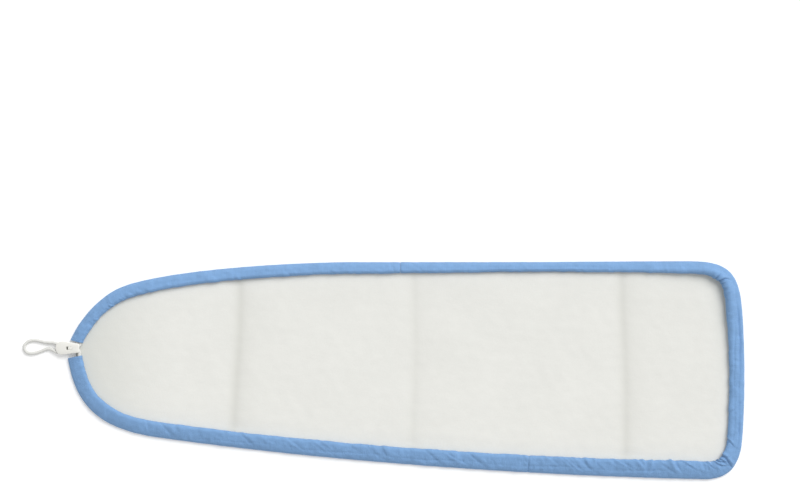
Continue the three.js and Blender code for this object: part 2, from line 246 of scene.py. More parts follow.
def smoothPath(points, step):
    # a round curve through the points, at even steps
    p = np.vstack([2 * points[0] - points[1], points, 2 * points[-1] - points[-2]])
    t = np.concatenate([[0], np.cumsum(np.sqrt(np.linalg.norm(np.diff(p, axis=0), axis=1)))])
    curve = []
    for i in range(1, len(p) - 2):
        x = np.linspace(t[i], t[i + 1], 24, endpoint=False)[:, None]
        a, b, c = (between(x, t[j], t[j + 1], p[j], p[j + 1]) for j in (i - 1, i, i + 1))
        before, after = between(x, t[i - 1], t[i + 1], a, b), between(x, t[i], t[i + 2], b, c)
        curve.append(between(x, t[i], t[i + 1], before, after))
    curve = np.vstack([*curve, p[-2:-1]])
    along = lengthsAlong(curve)
    return rowsAt(np.linspace(0, along[-1], int(along[-1] / step) + 1), along, curve)


# The cord: braided polyester, from the casing through the lock and round as the pull loop

cord = {
    "radius": 2.95,
    "sides": 32,
    "loopSides": 48,
    "strands": 8,  # each way round
    "lay": 15.0,  # length in which a strand goes once round
    "relief": 0.24,
    "level": 9.6,  # of its middle where it lies in the casing's inner fold
    "fromFold": 4.6,
    "insidePlaces": 236,
    "insideStep": 3.0,
    "shownStep": 0.45,
    "loopStep": 0.4,
    "beforeBend": 0.6,  # left free between the mouth and the bend into the lock
}

lockFrame = {
    "narrowEnd": (-591.10, 40.8, 10.70),
    "towardsWideEnd": (-0.987674514, 0, -0.156521739),
    "strandOff": (3.4, 0.115),  # from its middle line at the narrow end, and its gain along it
    "strandPlaces": (0, 7, 21, 35.7),
}

# the pull loop's places, from inside the lock round and back into it
loopRoute = [
    (-626.66, 48.34, 5.06), (-628.63, 48.57, 4.75), (-635.09, 50.4, 4.7), (-642.1, 50.59, 4),
    (-650.08, 51.19, 3.4), (-658.12, 52.99, 3.05), (-667.12, 54.7, 3.05), (-676.07, 54.41, 3.05),
    (-683.48, 51, 3.05), (-687.99, 45, 3.05), (-688.1, 38.4, 3.05), (-683.31, 32.59, 3.05),
    (-675.5, 30.89, 3.05), (-666.1, 32.09, 3.05), (-657.09, 35.21, 3.05), (-649.11, 38.4, 3.1),
    (-641.59, 39.19, 3.6), (-635.49, 36.6, 4.4), (-628.63, 33.03, 4.75), (-626.66, 33.26, 5.06),
]


def braidedCord(name, path, sides):
    # rings carried along the path without twist, raised where a strand of the braid lies on top
    along = lengthsAlong(path)
    heading = unit(np.gradient(path, axis=0))
    side = np.zeros_like(path)
    side[0] = np.cross(heading[0], (0, 0, 1))
    for i in range(1, len(path)):
        side[i] = side[i - 1] - heading[i] * side[i - 1].dot(heading[i])
        side[i] /= np.linalg.norm(side[i])
    side[0] /= np.linalg.norm(side[0])
    up = np.cross(side, heading)
    turn = 2 * np.pi * np.arange(sides) / sides
    around = cord["strands"] * turn
    ahead = cord["strands"] * 2 * np.pi * along[:, None] / cord["lay"]
    over, under = np.cos((around + ahead) / 2) ** 2, np.cos((around - ahead) / 2) ** 2
    crossing = np.sqrt(np.clip(0.5 + 0.5 * np.cos(around) * np.cos(ahead), 0, 1))
    raised = crossing * 0.6 + 0.4 * np.maximum(over, under)
    radius = cord["radius"] + cord["relief"] * (raised - 0.75)
    rings = path[:, None] + radius[..., None] * (
        np.cos(turn)[:, None] * side[:, None] + np.sin(turn)[:, None] * up[:, None])
    count = len(path)
    faces = skinFaces(count, sides)
    faces += [list(range(sides))[::-1], list(range((count - 1) * sides, count * sides))]
    piece = newPiece(name, rings.reshape(-1, 3), faces)
    corners = cornerPoints(piece)
    lie = np.column_stack([along[corners // sides] * mm, (corners % sides) / sides])
    closing = np.arange(sides - 1, (count - 1) * sides, sides)  # the last quad of each ring
    for corner in (1, 2):
        lie[closing * 4 + corner, 1] = 1
    addMap(piece, "braidMap", lie)
    return piece


pullLoopPath = smoothPath(np.array(loopRoute), cord["loopStep"])
pullLoop = braidedCord("pullLoop", pullLoopPath, cord["loopSides"])
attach(pullLoop, "lock")
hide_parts("cord_loop")


def cordInCasing(s, slant=0.0):
    row = rimAt(s)
    inset = row[rimBand] - row[rimDrawn] - cord["fromFold"]
    flat = row[rimPlace] + row[rimInward] * inset + row[rimAlong] * slant * inset
    return np.array([*flat, cord["level"]])


def strandInLock(side):
    # places beside the lock's middle line, which runs from its narrow end
    off, gain = lockFrame["strandOff"]
    start, heading, across = np.array((lockFrame["narrowEnd"], lockFrame["towardsWideEnd"], (0, -1, 0)))
    return [
        start + reach * heading + side * (off + gain * reach) * across
        for reach in lockFrame["strandPlaces"]
    ]


def bendAtMouth(mouth, side):
    # a quarter turn from along the casing to into the lock
    x, y, level = lockFrame["narrowEnd"]
    radius = mouth[0] - x - cord["beforeBend"]
    bend = []
    for turn in (math.pi / 2 * share for share in (1, 0.67, 0.33)):
        off = lockFrame["strandOff"][0] + radius * (1 - math.cos(turn))
        rise = (cord["level"] - level) * math.sin(turn)
        bend.append(np.array([mouth[0] - radius * (1 - math.sin(turn)), y - side * off, level + rise]))
    return bend


def drawcordPath():
    # a fine stretch at each end, where the cord shows, and a coarser one inside the casing
    upper, lower = cordInCasing(upperMouth, upperSlant), cordInCasing(lowerMouth, lowerSlant)
    inside = [cordInCasing(s) for s in np.linspace(upperTail, lowerTail, cord["insidePlaces"])]
    farEnd = strandInLock(-1)[::-1] + bendAtMouth(upper, -1)[::-1] + [upper] + inside[:2]
    nearEnd = inside[-2:] + [lower] + bendAtMouth(lower, 1) + strandInLock(1)
    first, last = (smoothPath(np.array(places), cord["shownStep"]) for places in (farEnd, nearEnd))
    middle = smoothPath(np.array(inside[1:-1]), cord["insideStep"])
    return np.vstack([first, middle[1:-1], last])


drawcord = braidedCord("drawcord", drawcordPath(), cord["sides"])
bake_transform(drawcord)
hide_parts("drawcord", "cord_tail_far", "cord_tail_near")
print("drawcord made,", len(drawcord.data.vertices), "points")

# The casing: three strips of cloth folded double, both raw edges in the seam

casing = {
    "spacing": 1.9,
    "endGap": 0.15,
    "endSteps": (0, 0.4, 0.9, 1.6),  # closer sections at each end of a strip
    "evenFrom": 3.2,
    "edgePoint": 12,  # of a section's points, the one at the outer edge
    "foldPoint": 48,  # and the one at the inner fold
    "pinch": 1.0,  # how far a sewn join is drawn in, and over what length
    "pinchLength": 1.8,
    "hem": 7.0,  # turned in at a mouth
    "hemEase": 0.8,
    "hemStep": 0.3,
    "hemGroove": (0.35, 6.0, 0.8),  # where its stitches draw it in: depth, place, spread
    "lipRound": 0.5,
    "mouthBlend": 30.0,
    "wobble": (0.4, 9, 5),  # of the inner fold's line, in and out: size, smoothness, seed
    "topWobble": (0.35, 16, 6),  # of the top, up and down
    "foldSeed": 41,
    "narrowing": 0.35,  # of the band where it is drawn in or stands up, as a share of that
    "cordRoom": (0.3, 0.7),  # how far the cloth may sink over the cord, and more where it is drawn in
    "foldReach": 60.0,
    "foldShare": (0.4, 6.0),  # of a fold's depth, what is left at the inner fold, and how far in it is whole
    "edgeShare": (0.3, 9.0),  # the same at the outer edge, over which the cloth is tight
    "liftFrom": (0.35, 0.75),  # shares of the way in over which the corner's rise sets in
    "sway": [(1.6, 29.0), (0.5, 9.1)],  # of the long folds: size and pitch
    "swell": (0.3, 31.0),  # of their depth
    "crumple": [(34.0, 0.5, 31), (15.0, 0.28, 32)],  # uneven lie of the cloth: pitch, depth, seed
    # stretches of the outline: first and last mark, mean pitch, depth, spread, lean, and the least
    # and most of the way across that a fold takes from the inner fold
    "folds": [
        (0.14, 1.0, 13, 1.3, 1.9, 0.5, 0.25, 0.6),
        (1.0, 2.26, 34, 1.1, 2.7, 0.9, 0.4, 0.9),
        (2.26, 4.1, 30, 1.0, 2.7, 0.8, 0.4, 0.9),
        (4.25, 4.8, 9, 1.7, 2.2, -0.3, 0.2, 0.55),
        (4.8, 6.0, 26, 1.3, 2.5, 0.9, 0.3, 0.7),
        (6.0, 7.05, 15, 1.6, 3.2, 0.6, 0.3, 0.8),
        (7.05, 7.27, 12, 3.7, 2.7, 0.9, 0.5, 1.0),
        (7.27, 7.42, 20, 1.6, 3.0, 0.9, 0.5, 1.0),
        (7.42, 7.6, 16, 2.4, 3.2, 0.9, 0.5, 1.0),
        (7.6, 8.2, 21, 1.6, 3.4, 0.9, 0.4, 0.95),
        (8.2, 8.955, 15, 1.3, 2.6, 0.7, 0.35, 0.8),
    ],
    # single deep folds: mark, depth, spread, lean, way across
    "creases": [(6.15, 3.0, 2.2, 2.0, 0.4), (6.5, 3.4, 2.8, 0.2, 0.7), (6.72, 4.8, 2.4, 1.6, 0.55),
                (6.85, 4.2, 2.6, 1.6, 0.7), (6.315, 6.8, 3.0, -0.45, 0.98), (7.0, 3.2, 2.4, 1.3, 0.6),
                (6.0, 4.2, 2.0, -1.0, 0.55),
                (4.33, 5.4, 2.0, -1.5, 0.65), (4.24, 4.0, 1.8, -1.2, 0.5), (4.5, 2.8, 1.8, -0.4, 0.4),
                (0.80, 3.4, 1.6, 0.9, 0.5), (0.97, 2.8, 1.6, 0.9, 0.45), (0.55, 2.4, 1.6, 0.7, 0.4)],
    # long folds that run with the edge: first and last mark, share of the girth, depth, spread
    "longFolds": [(4.65, 6.3, 0.3, 4.4, 2.2), (4.95, 6.2, 0.55, 2.4, 2.2), (2.6, 4.2, 0.45, 0.8, 2.2),
                  (7.05, 7.9, 0.34, 1.2, 2.2), (1.0, 1.8, 0.4, 0.7, 2.2)],
    "cornerRise": (4.62, 75.0, 5.8),  # where the inner fold stands higher, over what length, how far
}


def casingSection(w):
    # at a band width w: inset from the edge, level, and how much of a fold shows there
    under = np.maximum(w - 3, 15.9)
    rows = [
        (14.5, 0.9, 0), (13, 0.3, 0), (9.5, 0, 0), (3.2, 0.25, 0), (0.9, 1.2, 0.15), (0.1, 3.0, 0.6),
        (0.9, 5.4, 0.9), (3.2, 8.2, 1), (1.5 + 0.17 * w, 10.1, 1), (0.34 * w, 11.7, 1), (0.47 * w, 12.95, 1),
        (0.6 * w, 13.9, 1), (0.8 * w - 2.25, 14.4, 1), (w - 4.5, 14.5, 1),
        (w - 1.3, 12.6, 1), (w, 9.8, 0.9), (w - 0.7, 7.2, 0.5), (under, 5.65, 0),
        ((under + 15) / 2, 5.4, 0), (15, 5.4, 0), (14.5, 4.6, 0), (14.4, 2.5, 0),
    ]
    table = np.stack([np.stack([np.broadcast_to(value, w.shape) for value in row], -1) for row in rows], 1)
    before, after, further = np.roll(table, 1, 1), np.roll(table, -1, 1), np.roll(table, -2, 1)
    # three points from each row to the next, on a round curve, then smoothed
    ring = np.stack([
        0.5 * (2 * table + (after - before) * t + (2 * before - 5 * table + 4 * after - further) * t * t
               + (3 * table - before - 3 * after + further) * t ** 3)
        for t in (0, 1 / 3, 2 / 3)
    ], 2).reshape(len(w), -1, 3)
    return 0.25 * np.roll(ring, 1, 1) + 0.5 * ring + 0.25 * np.roll(ring, -1, 1)


def foldList():
    # each fold: place, depth, spread, lean, way across, bend, and the side its valley is on
    draws = np.random.default_rng(casing["foldSeed"])
    folds = []
    for first, last, pitch, depth, spread, lean, least, most in casing["folds"]:
        at, end = lengthAtMark(first), lengthAtMark(last)
        while at < end:
            deep = 1.6 * depth * draws.uniform(0.3, 1) ** 1.7
            wide = spread * draws.uniform(0.6, 1.5)
            turn, bend = lean * draws.uniform(0.2, 1.8), draws.uniform(-0.5, 0.5)
            folds.append((at, deep, wide, turn, draws.uniform(least, most), bend, draws.choice((-1, 1))))
            at += pitch * draws.uniform(0.3, 1.9)
    for mark, depth, spread, lean, way in casing["creases"]:
        folds.append((lengthAtMark(mark), depth, spread, lean, way, draws.uniform(-0.3, 0.3), 1))
    return folds


casingFolds = foldList()
innerWobble, topWobble = (
    size * waver(int(rimLength), sigma, seed)
    for size, sigma, seed in (casing["wobble"], casing["topWobble"])
)


def foldShape(x):
    # a low, broad ridge with a narrow valley beside it
    ridge, valley = bell(x / 1.5), np.exp(-1.6 * np.sqrt((x - 1.8) ** 2 + 0.08))
    return 0.42 * ridge - 1.05 * valley


def heldBack(share, width, away):
    # rises from a share at an edge to 1 at this width from it
    return share + (1 - share) * eased(0, width, away)


def awayFromOuterEdge(girth):
    return heldBack(*casing["edgeShare"], girth)


def cornerLift(s):
    mark, length, rise = casing["cornerRise"]
    return rise * nearMark(s, mark, length)


def foldHeight(s, girth, span):
    # how far the cloth stands out, at lengths s and girths from the outer edge to the inner fold
    reach = casing["foldReach"]
    height = np.zeros_like(girth)
    for at, depth, spread, lean, way, bend, side in casingFolds:
        near = np.abs(s - at) < reach
        if not near.any():
            continue
        fromFold = span[near, None] - girth[near]
        run = lean * fromFold + bend * fromFold ** 2 / span[near, None]
        across = 1 - eased(0.5 * way, way, np.abs(fromFold) / span[near, None])
        height[near] += depth * foldShape(side * (s[near, None] - at + run) / spread) * across
    swell, swellPitch = casing["swell"]
    for i, (first, last, share, depth, spread) in enumerate(casing["longFolds"]):
        low, high = lengthAtMark(first), lengthAtMark(last)
        fade = eased(low, low + reach, s) * (1 - eased(high - reach, high, s))
        sway = sum(size * np.sin(s / pitch + k * i) for k, (size, pitch) in enumerate(casing["sway"], 1))
        x = (girth - share * span[:, None] - sway[:, None]) / spread
        height += depth * (fade * (1 - swell + swell * np.sin(s / swellPitch)))[:, None] * foldShape(x)
    places = np.column_stack([np.repeat(s, girth.shape[1]), girth.ravel()])
    for pitch, depth, seed in casing["crumple"]:
        height += depth * softField(places, pitch, seed).reshape(girth.shape)
    height *= heldBack(*casing["foldShare"], span[:, None] - girth)
    return height + cornerLift(s)[:, None] * eased(*casing["liftFrom"], girth / span[:, None])


def plainRings(s):
    # the casing's sections at these lengths: rows of the rim, rings, girths, spans and ways out
    rows = rimAt(s)
    spot = np.clip(s.astype(int), 0, len(innerWobble) - 1)
    band = rows[:, rimBand] - casing["narrowing"] * (rows[:, rimDrawn] + cornerLift(s))
    ring = casingSection(band + innerWobble[spot])
    step = np.linalg.norm(np.diff(ring[:, :, :2], axis=1, append=ring[:, :1, :2]), axis=2)
    travelled = np.cumsum(step, 1) - step
    outerEdge, innerFold = travelled[:, casing["edgePoint"]], travelled[:, casing["foldPoint"]]
    girth, span = travelled - outerEdge[:, None], innerFold - outerEdge
    around = unit(np.roll(ring[:, :, :2], -1, 1) - np.roll(ring[:, :, :2], 1, 1))
    out = np.stack([-around[..., 1], around[..., 0]], -1)  # the rings run clockwise seen along s
    height = foldHeight(s, girth, span) + topWobble[spot][:, None]
    return rows, ring, girth, span, out, height * ring[..., 2] * awayFromOuterEdge(girth)


def onRim(rows, flat, ahead=0.0):
    # places of points that are given by inset and level, moved ahead along the rim
    ahead = np.broadcast_to(ahead, flat.shape[:2])[..., None]
    plane = rows[:, None, rimPlace] + rows[:, None, rimInward] * flat[..., :1]
    plane += rows[:, None, rimAlong] * ahead
    return np.concatenate([plane, flat[..., 1:2]], -1)


# The cloth of each strip is cut a little longer than its way round, so it gathers. A cloth
# simulation finds those small folds; the strip's own slow shift is taken out of them.

settle = {
    "step": 3.0,  # between sections
    "endGap": 0.2,
    "heldEnds": 3,  # sections
    "frames": 30,
    "seed": 7,
    # marks, and the share of the gathering there
    "gathers": [(0, 0.35), (1, 0.25), (2.3, 0.2), (4.1, 0.3), (4.4, 0.9), (4.75, 0.7), (5, 0.35), (5.8, 0.4),
                (6.1, 0.8), (7.05, 0.8), (7.2, 0.8), (7.8, 0.6), (8.4, 0.4), (9, 0.3)],
    "start": 0.12,  # uneven lie that sets it off
    "heldUnder": 0.3,  # points that show less of a fold than this are held
    "smooth": 0.7,  # sections
    "slow": 7.0,  # sections over which a shift is the strip's own
    "shown": 0.8,  # sections of the finished strip
    "most": 2.4,
}

settlingCloth = {
    "quality": 6,
    "mass": 0.15,
    "air_damping": 3,
    "tension_stiffness": 25,
    "compression_stiffness": 25,
    "shear_stiffness": 15,
    "bending_model": "ANGULAR",
    "bending_stiffness": 0.01,
    "vertex_group_mass": "held",
    "vertex_group_shrink": "gathers",
    "shrink_min": 0,
    "shrink_max": -0.085,  # below 0 the cloth is longer, and this much where it gathers most
    "use_pressure": True,
    "uniform_pressure_force": -2.0,
}


def startCloth(start, end):
    gap, ends = settle["endGap"], settle["heldEnds"]
    s = np.linspace(start + gap, end - gap, int((end - start) / settle["step"]))
    rows, ring, _, _, out, height = plainRings(s)
    ring, out, height = (values[:, ::2] for values in (ring, out, height))
    uneven = np.random.default_rng(settle["seed"]).normal(size=height.shape)
    height = height + settle["start"] * uneven * ring[..., 2]
    points = onRim(rows, ring[..., :2] + out * height[..., None])
    piece = newPiece("settlingStrip", points.reshape(-1, 3), skinFaces(*height.shape, turned=True))
    held = np.where(ring[..., 2] < settle["heldUnder"], 1.0, 0.0)
    held[:ends] = held[-ends:] = 1.0
    gathers = np.interp(rows[:, rimMark], *zip(*settle["gathers"])).round(2)
    for name, weights in (("held", held.ravel()), ("gathers", np.repeat(gathers, height.shape[1]))):
        group = piece.vertex_groups.new(name=name)
        for weight in np.unique(weights[weights > 0]):
            group.add(np.nonzero(weights == weight)[0].tolist(), float(weight), "REPLACE")
    cloth = piece.modifiers.new("settling", "CLOTH")
    cloth.point_cache.frame_end = settle["frames"] + 1
    cloth.collision_settings.use_collision = False
    for key, value in settlingCloth.items():
        setattr(cloth.settings, key, value)
    cloth.settings.effector_weights.gravity = 0
    return piece, s, rows, points


def readCloth(piece, s, rows, points):
    # shifts of the settled strip at each section and ring point: inward, along and up
    mesh = piece.evaluated_get(bpy.context.evaluated_depsgraph_get()).to_mesh()
    settled = np.zeros(len(mesh.vertices) * 3)
    mesh.vertices.foreach_get("co", settled)
    moved = settled.reshape(points.shape) / mm - points
    inward, along = ((moved[..., :2] * rows[:, None, way]).sum(-1) for way in (rimInward, rimAlong))
    flat = np.stack([inward, along, moved[..., 2]], -1)
    lines = flat.reshape(len(s), -1)
    quick, slow = (blurred(lines, settle[key], loop=False) for key in ("smooth", "slow"))
    flat = (quick - slow).reshape(flat.shape)
    far = np.linalg.norm(flat, axis=2)[..., None]
    flat *= settle["most"] * np.tanh(far / settle["most"]) / np.maximum(far, 1e-6)
    full = np.zeros((len(s), 2 * flat.shape[1], 3))
    full[:, ::2] = flat
    full[:, 1::2] = 0.5 * (flat + np.roll(flat, -1, 1))
    return s, full


def settleCasing(strips):
    pieces = [startCloth(*strip) for strip in strips]
    for step in range(1, settle["frames"] + 1):
        scene.frame_set(step)
    shifts = [readCloth(*made) for made in pieces]
    for made in pieces:
        bpy.data.objects.remove(made[0])
    scene.frame_set(1)
    print("casing settled, moved", [round(float(np.abs(full).max()), 1) for _, full in shifts], "mm at most")
    return shifts


def clothMap(piece, u, v):
    # where each corner lies on the cut cloth, in metres
    corners = cornerPoints(piece)
    quads = (np.stack([u[corners], v[corners]], 1) * mm).reshape(-1, 4, 2)
    top = v.max() * mm
    wraps = np.ptp(quads[:, :, 1], axis=1) > 0.5 * top
    for corner in range(4):
        low = wraps & (quads[:, corner, 1] < 0.5 * top)
        quads[low, corner, 1] += top
    addMap(piece, "clothMap", quads)


def settledShift(s, settled, size):
    # the simulation's shifts at the lengths of the finished sections
    if settled is None:
        return np.zeros((len(s), size, 3))
    lengths, full = settled
    shift = rowsAt(s, lengths, full.reshape(len(lengths), -1))
    return blurred(shift, settle["shown"], loop=False).reshape(len(s), size, 3)


def casingRings(start, end, mouthAt, slant, settled):
    # sections along a strip: outer rings, inner rings, lengths and girths
    low, high = start + casing["endGap"], end - casing["endGap"]
    close, evenFrom = np.array(casing["endSteps"]), casing["evenFrom"]
    even = np.linspace(low + evenFrom, high - evenFrom, int((high - low) / casing["spacing"]))
    s = np.concatenate([low + close, even, high - close[::-1]])
    rows, ring, girth, span, out, height = plainRings(s)
    shift = settledShift(s, settled, height.shape[1]) * (ring[..., 2] * awayFromOuterEdge(girth))[..., None]
    # the cloth stays clear of the cord inside it
    outwards = height + shift[..., 0] * out[..., 0] + shift[..., 2] * out[..., 1]
    sink, more = casing["cordRoom"]
    lacking = np.maximum(0, -sink - more * rows[:, rimDrawn, None] - outwards)
    height = height + np.where(girth > 0.5 * span[:, None], lacking, 0)
    thickness = np.full(len(s), cover["clothThickness"])
    lean = np.zeros(len(s))
    for side, distance in (("low", s - low), ("high", high - s)):
        if side == mouthAt:
            past = eased(casing["hem"] - casing["hemEase"], casing["hem"] + casing["hemEase"], distance)
            depth, place, spread = casing["hemGroove"]
            height += casing["hemStep"] * (1 - past)[:, None]
            height -= casing["lipRound"] * (1 - eased(0, 1.0, distance))[:, None]
            height -= depth * bell((distance - place) / spread)[:, None] * ring[..., 2]
            thickness *= 2 - past
            lean = slant * (1 - eased(0, casing["mouthBlend"], distance))
        else:
            pinch = casing["pinch"] * np.exp(-((distance / casing["pinchLength"]) ** 2))
            height -= pinch[:, None] * ring[..., 2]
    skins = []
    for depth in (np.zeros(len(s)), thickness):
        flat = ring[..., :2] + out * (height - depth[:, None])[..., None] + shift[..., ::2]
        skins.append(onRim(rows, flat, lean[:, None] * flat[..., 0] + shift[..., 1]))
    return *skins, s, girth


def casingStrip(name, node, start, end, settled, mouthAt=None, slant=0.0):
    outer, inner, s, girth = casingRings(start, end, mouthAt, slant, settled)
    count, size = outer.shape[:2]
    points = np.concatenate([outer.reshape(-1, 3), inner.reshape(-1, 3)])
    faces = skinFaces(count, size, turned=True) + skinFaces(count, size, count * size)
    for ring, turned in ((0, True), (count - 1, False)):
        a = ring * size + np.arange(size)
        b = ring * size + (np.arange(size) + 1) % size
        cap = np.stack([a, b, b + count * size, a + count * size], -1)
        faces += (cap if turned else cap[:, ::-1]).tolist()
    piece = newPiece(name, points, faces)
    clothMap(piece, np.tile(np.repeat(s, size), 2), np.tile((girth - girth.min(1)[:, None]).ravel(), 2))
    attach(piece, "cover")
    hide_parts(node)
    return piece, outer, s


settledFar, settledWide, settledNear = settleCasing([
    (upperMouth, farSeam), (farSeam, nearSeam), (nearSeam, lowerMouth)])
casingFarSide, farRings, farLengths = casingStrip(
    "casingFarSide", "casing_far_side", upperMouth, farSeam, settledFar, "low", upperSlant)
casingWideEnd, wideRings, _ = casingStrip("casingWideEnd", "casing_wide_end", farSeam, nearSeam, settledWide)
casingNearSide, nearRings, nearLengths = casingStrip(
    "casingNearSide", "casing_near_side", nearSeam, lowerMouth, settledNear, "high", lowerSlant)

# Face cloth and felt, on one net of points

pad = {
    "borderStep": 4.0,
    "spacing": 4.5,
    "faceInset": 14.9,
    "feltInset": 15.2,
    "feltGap": 0.1,
    "faceLift": (0.45, 0.3, 130, 21),  # of the face cloth off the floor: mean, unevenness, pitch, seed
    "mostLift": 1.7,
    "facePucker": (0.35, 6.2, 15, 32),  # beside the seam: height, pitch, and where it fades out
    "puckerWaver": (1.5, 25, 8),  # of their spacing: size, smoothness, seed
    "foldLift": 0.7,
    "undulation": (0.22, 110, 12),  # of the felt: height, pitch, seed
    "unevenness": (0.12, 34, 13),
    "puff": 0.45,  # how far the felt rises once it is clear of the casing
    "cornerDip": (4.65, 90.0, 2.6),  # where it is pressed down: mark, length and depth
    "handlingAndShade": (-600.0, -410.0),  # x over which the painted shade towards the nose fades out
    "cornerShade": (4.62, 95.0, 24.0),  # where a painted shadow darkens the felt beside the casing: mark, length and width
    # creases across the felt where it was folded: x, depth, lean, and how much painted shade darkens the felt
    # along it
    "creases": [(-297.5, 1.5, 0.043, 1.0), (27.3, 0.8, 0.008, 0.45), (412.4, 1.3, -0.022, 0.85)],
    "creaseSpread": (8.5, 6.0, 28.0),  # before it, and close by and far after it
    "creaseSway": (1.5, 47.0),
}

# folds of the face cloth: spread, depth, and the places each runs through
faceFolds = [
    (5, 1.3, [(-584, 52), (-555, 109), (-537, 149)]),
    (4, 1.0, [(-577, 50), (-545, 104), (-520, 140)]),
    (4, 0.8, [(-502, -61), (-512, -50)]),
    (4, 0.8, [(-524, -58), (-530, -46)]),
    (7, 0.9, [(-360, -83), (-355, -74), (-340, -60)]),
    (8, 0.9, [(-524, 127), (-464, 155)]),
    (22, 1.0, [(-431, -100), (-425, 120)]),
    (16, 0.8, [(-236, -120), (-232, 140)]),
    (8, 1.3, [(-92, -113), (-127, -28), (-136, 3), (-108, 72), (-94, 104), (-57, 146)]),
    (9, 1.1, [(6, -120), (28, -93), (19, -61), (-8, -16), (-21, 45)]),
    (7, 0.8, [(-66, 63), (-66, 104)]),
    (8, 0.9, [(79, -138), (138, -120)]),
    (8, 1.1, [(147, -144), (180, -102), (198, -61)]),
    (9, 0.9, [(162, -148), (211, -93), (262, -56)]),
    (6, 0.7, [(34, -98), (34, -28)]),
    (7, 0.8, [(134, 45), (134, 168)]),
    (9, 0.8, [(-176, 82), (-136, 137)]),
    (10, 1.0, [(311, -175), (380, -120)]),
    (8, 0.8, [(380, -175), (408, -144)]),
    (8, 0.8, [(444, -175), (457, -144)]),
    (20, 1.2, [(535, -160), (575, -75), (590, 63), (588, 130)]),
    (9, 1.2, [(563, 63), (600, 130)]),
    (9, 1.2, [(535, 109), (590, 150)]),
    (10, 0.8, [(244, 36), (284, 82)]),
]


def padNet():
    # border points and rows of inner points, joined by triangles, with each point's inset
    s = np.arange(0, rimLength, pad["borderStep"])
    border = rimAt(s)
    edge = border[:, rimPlace] + border[:, rimInward] * pad["faceInset"]
    tree = kdtree.KDTree(len(rimRows))
    for i, row in enumerate(rimRows):
        tree.insert((row[0], row[1], 0), i)
    tree.balance()
    inner, insets, lengths = [], [pad["faceInset"]] * len(s), list(s)
    rowStep = pad["spacing"] * math.sqrt(3) / 2
    low, high = edge.min(0), edge.max(0)
    for j, y in enumerate(np.arange(low[1] + rowStep, high[1], rowStep)):
        for x in np.arange(low[0] + (j % 2) * pad["spacing"] / 2, high[0], pad["spacing"]):
            _, i, away = tree.find((x, y, 0))
            inset = ((x, y) - rimRows[i, rimPlace]) @ rimRows[i, rimInward]
            if inset > 0 and away > pad["faceInset"] + 0.6 * pad["spacing"]:
                inner.append((x, y))
                insets.append(away)
                lengths.append(i * rimLength / len(rimRows))
    flat = np.vstack([edge, inner])
    made = geometry.delaunay_2d_cdt([Vector(p) for p in flat], [], [list(range(len(s)))], 1, 1e-4)
    faces = [list(face) for face in made[2]]
    return flat, np.array(insets), np.array(lengths), faces, len(s)


padPoints, padInsets, padLengths, padFaces, padBorder = padNet()
pastBand = padInsets - rimAt(padLengths)[:, rimBand]  # how far each point is clear of the casing


def awayFromRun(points, run):
    # distance to a line through places, and the share along it
    best = np.full(len(points), np.inf)
    share = np.zeros(len(points))
    run = np.array(run, float)
    for i, (a, b) in enumerate(zip(run[:-1], run[1:])):
        t = np.clip(((points - a) @ (b - a)) / ((b - a) @ (b - a)), 0, 1)
        away = np.linalg.norm(points - a - t[:, None] * (b - a), axis=1)
        share = np.where(away < best, (i + t) / (len(run) - 1), share)
        best = np.minimum(best, away)
    return best, share


def faceLevels():
    # the face cloth lies on the floor along its folds' ridges and lifts off it in between
    mean, uneven, pitch, seed = pad["faceLift"]
    lift = mean + uneven * softField(padPoints, pitch, seed)
    for spread, depth, run in faceFolds:
        away, share = awayFromRun(padPoints, run)
        fade = eased(-0.1, 0.2, share) * (1 - eased(0.8, 1.1, share))
        ridge = bell(away / spread) - 0.5 * bell((away - 2 * spread) / spread)
        lift += pad["foldLift"] * depth * ridge * fade
    height, pitch, whole, none = pad["facePucker"]
    size, sigma, seed = pad["puckerWaver"]
    wander = size * waver(int(rimLength) + 1, sigma, seed)[padLengths.astype(int)]
    pucker = np.sin(padLengths / pitch + wander)
    lift += height * pucker * (1 - eased(whole, none, padInsets))
    return np.clip(lift, 0, pad["mostLift"]) * eased(10, 30, padInsets)


def feltLevels(under):
    # the felt's under side and top, and how much painted shade darkens it along the creases, from 0 to 1
    top = np.full(len(padPoints), cover["feltTop"])
    for key, far in (("undulation", 70), ("unevenness", 60)):
        height, pitch, seed = pad[key]
        top += height * softField(padPoints, pitch, seed) * eased(30, far, padInsets)
    top += pad["puff"] * eased(2, 26, pastBand)
    creaseShade = np.zeros(len(padPoints))
    spread, close, far = pad["creaseSpread"]
    sway, pitch = pad["creaseSway"]
    for i, (x, drop, lean, shadeShare) in enumerate(pad["creases"]):
        ahead = padPoints[:, 0] - x - lean * padPoints[:, 1] - sway * np.sin(padPoints[:, 1] / pitch + i)
        after = 0.5 * np.exp(-np.abs(ahead) / close) + 0.5 * np.exp(-np.abs(ahead) / far)
        valley = np.where(ahead < 0, bell(ahead / spread), after)
        top -= drop * valley * eased(0, 8, pastBand)
        # painted shade: the felt's colour darkens along each crease valley
        creaseShade += shadeShare * valley
    mark, length, dip = pad["cornerDip"]
    around = nearMark(padLengths, mark, length)
    top -= dip * around * (1 - eased(0, 48, pastBand)) * eased(-5, 1, pastBand)
    return under + cover["clothThickness"] + pad["feltGap"], top, np.clip(creaseShade, 0, 1)


def paintedShadeShares():
    # how much painted shade darkens the felt: towards the nose, and as a painted shadow by the far corner of
    # the casing
    mark, length, width = pad["cornerShade"]
    # a painted shadow beside the far corner of the casing, and painted shade towards the nose
    beside = nearMark(padLengths, mark, length) * np.exp(-((np.maximum(0, pastBand) / width) ** 2))
    return np.maximum(1 - eased(*pad["handlingAndShade"], padPoints[:, 0]), beside)


